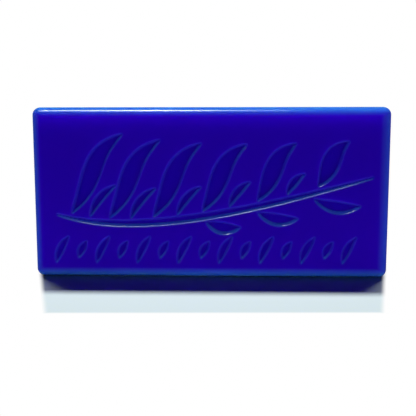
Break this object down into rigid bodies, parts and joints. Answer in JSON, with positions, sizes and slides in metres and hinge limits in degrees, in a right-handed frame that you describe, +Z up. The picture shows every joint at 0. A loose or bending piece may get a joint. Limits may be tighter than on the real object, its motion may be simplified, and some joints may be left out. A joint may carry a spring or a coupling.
{
  "type": "clay bar",
  "caption": "Rectangular cast bar with rounded edges for car surface care, standing on a long narrow side, with a leafy sprig and a row of seeds sunk into its front face.",
  "frame": {"origin": "centre of the long narrow side that the bar stands on", "axes": "+X along the length, +Z up along the face's short side, +Y from the decorated face towards the plain back"},
  "size_m": [0.1, 0.025, 0.048],
  "materials": {
    "blue_wax": "glossy, slightly translucent cast wax, deep ultramarine with lighter rims"
  },
  "bodies": {
    "root": {"cast_bar": "blue_wax"}
  },
  "joints": []
}
